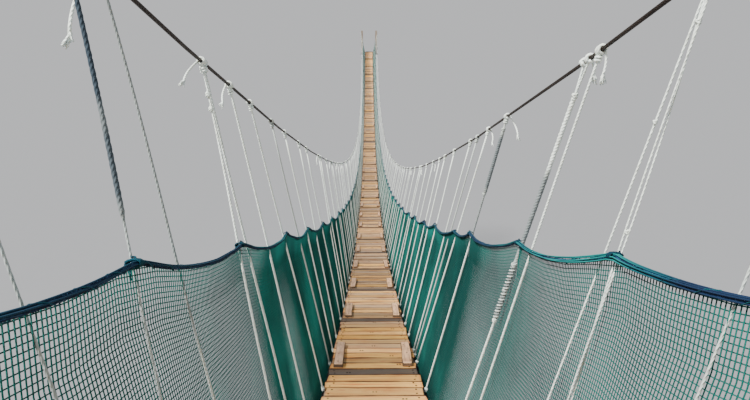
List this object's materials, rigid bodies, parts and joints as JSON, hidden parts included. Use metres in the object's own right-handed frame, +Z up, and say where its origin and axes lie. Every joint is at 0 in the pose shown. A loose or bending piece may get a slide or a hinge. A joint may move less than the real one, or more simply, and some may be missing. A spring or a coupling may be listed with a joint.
{
  "type": "rope suspension footbridge, 1:2 scale model",
  "caption": "Half-scale rope suspension footbridge: a sagging plank walkway hung by rope hangers from two steel cables, with hand ropes, netted sides and timber end posts.",
  "frame": {"origin": "centre of the flat back face of the near sill, at the walkway's centre line", "axes": "+X to the right across the walkway, +Y along the bridge from the near end to the far end, +Z up"},
  "size_m": [0.7013, 27.296, 3.2681],
  "materials": {
    "plank_wood": "weathered, rough sawn",
    "frame_wood": "weathered, rough sawn",
    "post_wood": "weathered, squared",
    "cable_steel": "dark, greased strand",
    "hand_rope": "twisted rope wrapped in net",
    "hanger_rope": "twisted rope, sun bleached",
    "net": "knotted twine, square mesh"
  },
  "bodies": {
    "root": {"deck_planks_1": "plank_wood", "deck_planks_2": "plank_wood", "deck_planks_3": "plank_wood", "deck_planks_4": "plank_wood", "deck_frame_1": "frame_wood", "deck_frame_2": "frame_wood", "deck_frame_3": "frame_wood", "deck_frame_4": "frame_wood", "main_cable_left": "cable_steel", "main_cable_right": "cable_steel", "hand_rope_left": "hand_rope", "hand_rope_right": "hand_rope", "hangers_left_1": "hanger_rope", "hangers_left_2": "hanger_rope", "hangers_left_3": "hanger_rope", "hangers_left_4": "hanger_rope", "hangers_right_1": "hanger_rope", "hangers_right_2": "hanger_rope", "hangers_right_3": "hanger_rope", "hangers_right_4": "hanger_rope", "net_left_1": "net", "net_left_2": "net", "net_left_3": "net", "net_left_4": "net", "net_right_1": "net", "net_right_2": "net", "net_right_3": "net", "net_right_4": "net", "near_post_left": "post_wood", "near_post_right": "post_wood", "near_sill": "post_wood", "far_post_left": "post_wood", "far_post_right": "post_wood", "far_sill": "post_wood"}
  },
  "joints": []
}
